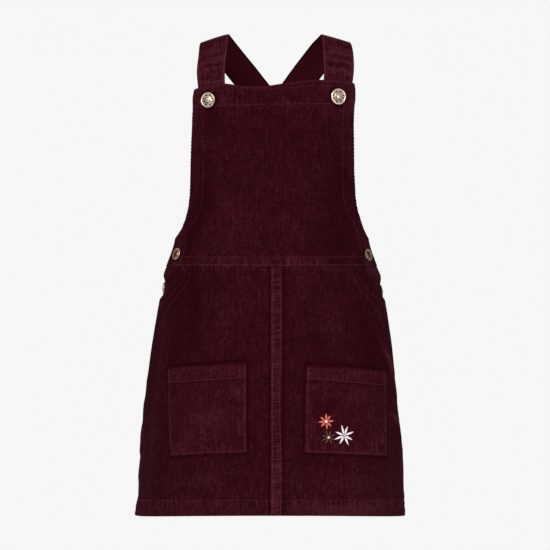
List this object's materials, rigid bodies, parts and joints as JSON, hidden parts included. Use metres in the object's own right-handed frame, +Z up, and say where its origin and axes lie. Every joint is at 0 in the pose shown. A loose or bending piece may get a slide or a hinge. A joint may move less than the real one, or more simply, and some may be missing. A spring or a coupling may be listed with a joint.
{
  "type": "pinafore dress",
  "caption": "Child's corduroy pinafore dress in its worn form: buttoned bib front, crossed back straps, flared skirt with patch pockets, hollow and open at neck, arms and hem.",
  "frame": {"origin": "midway between the shoulder straps, at the height of their undersides where they cross the shoulders", "axes": "+Z up along the dress, -Y towards the front of the wearer, +X towards the wearer's left"},
  "size_m": [0.284, 0.1899, 0.5056],
  "materials": {
    "bib_front": "burgundy cotton corduroy, vertical wales",
    "skirt_front_left": "burgundy cotton corduroy, vertical wales",
    "skirt_front_right": "burgundy cotton corduroy, vertical wales",
    "hip_side_left": "burgundy cotton corduroy, vertical wales",
    "hip_side_right": "burgundy cotton corduroy, vertical wales",
    "placket_left": "burgundy cotton corduroy, vertical wales",
    "placket_right": "burgundy cotton corduroy, vertical wales",
    "patch_pocket_left": "burgundy cotton corduroy, vertical wales",
    "patch_pocket_right": "burgundy cotton corduroy, vertical wales",
    "back_bib": "burgundy cotton corduroy, vertical wales",
    "skirt_back": "burgundy cotton corduroy, vertical wales",
    "strap_left": "burgundy cotton corduroy, vertical wales",
    "strap_right": "burgundy cotton corduroy, vertical wales",
    "strap_button_left": "satin gold with an embossed rim",
    "strap_button_right": "satin gold with an embossed rim",
    "side_button_left_upper": "satin gold with an embossed rim",
    "side_button_left_lower": "satin gold with an embossed rim",
    "side_button_right_upper": "satin gold with an embossed rim",
    "side_button_right_lower": "satin gold with an embossed rim"
  },
  "bodies": {
    "root": {"bib_front": "bib_front", "skirt_front_left": "skirt_front_left", "skirt_front_right": "skirt_front_right", "hip_side_left": "hip_side_left", "hip_side_right": "hip_side_right", "placket_left": "placket_left", "placket_right": "placket_right", "patch_pocket_left": "patch_pocket_left", "patch_pocket_right": "patch_pocket_right", "back_bib": "back_bib", "skirt_back": "skirt_back", "strap_left": "strap_left", "strap_right": "strap_right", "strap_button_left": "strap_button_left", "strap_button_right": "strap_button_right", "side_button_left_upper": "side_button_left_upper", "side_button_left_lower": "side_button_left_lower", "side_button_right_upper": "side_button_right_upper", "side_button_right_lower": "side_button_right_lower"}
  },
  "joints": []
}
